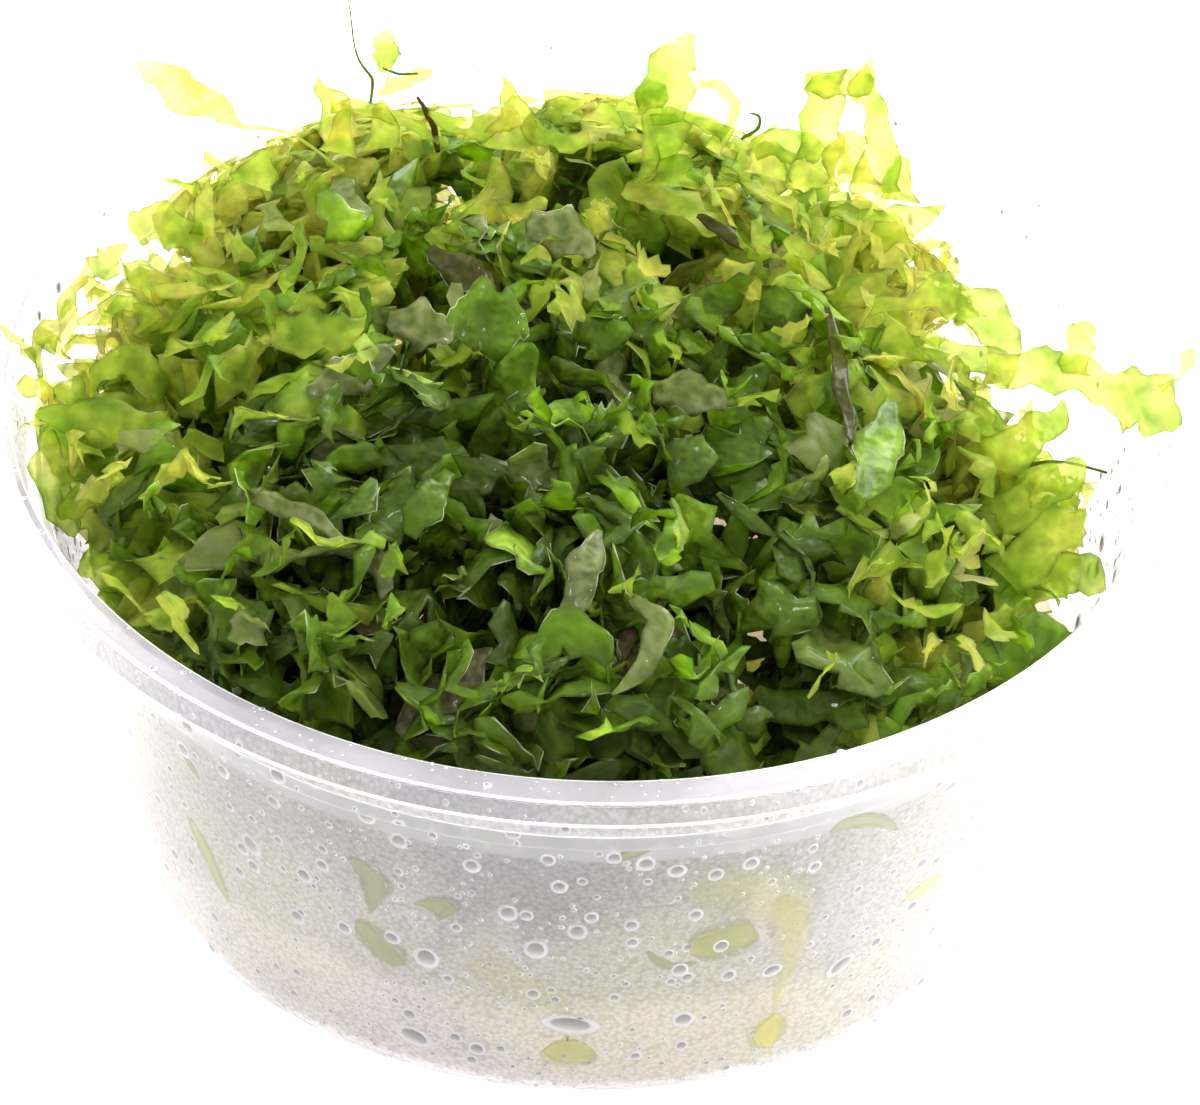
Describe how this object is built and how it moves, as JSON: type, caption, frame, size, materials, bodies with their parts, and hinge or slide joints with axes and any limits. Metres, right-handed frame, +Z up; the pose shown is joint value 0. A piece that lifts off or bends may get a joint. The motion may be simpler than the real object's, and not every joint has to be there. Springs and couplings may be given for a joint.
{
  "type": "lomariopsis tissue culture cup",
  "caption": "Round clear tissue culture cup with nutrient gel, packed and domed over the rim with ribbon-leaved lomariopsis fronds.",
  "frame": {"origin": "centre of the cup's flat underside", "axes": "+Z up out of the cup's mouth; -Y is the side that faces the viewer in the picture, +X to the viewer's right"},
  "size_m": [0.101, 0.101, 0.0662],
  "materials": {
    "clear_polypropylene": "moulded, clear, fogged inside with condensation",
    "nutrient_gel": "cloudy cream gel",
    "wet_thallus": "wet, thin, lets light through",
    "wall_thallus": "pale, pressed against the fogged wall",
    "dark_stem": "thin brown stem"
  },
  "bodies": {
    "root": {"cup": "clear_polypropylene", "gel": "nutrient_gel", "tuft_centre": "wet_thallus", "tuft_front": "wet_thallus", "tuft_front_left": "wet_thallus", "tuft_left": "wet_thallus", "tuft_back_left": "wet_thallus", "tuft_back": "wet_thallus", "tuft_back_right": "wet_thallus", "tuft_right": "wet_thallus", "tuft_front_right": "wet_thallus", "wall_frond_1": "wall_thallus", "wall_frond_2": "wall_thallus", "wall_frond_3": "wall_thallus", "wall_frond_4": "wall_thallus", "wall_frond_5": "wall_thallus", "wall_frond_6": "wall_thallus", "wall_frond_7": "wall_thallus", "wall_frond_8": "wall_thallus", "wall_frond_9": "wall_thallus", "wall_frond_10": "wall_thallus", "wall_frond_11": "wall_thallus", "wall_frond_12": "wall_thallus", "gel_frond_1": "wall_thallus", "gel_frond_2": "wall_thallus", "wall_stem": "dark_stem"}
  },
  "joints": []
}
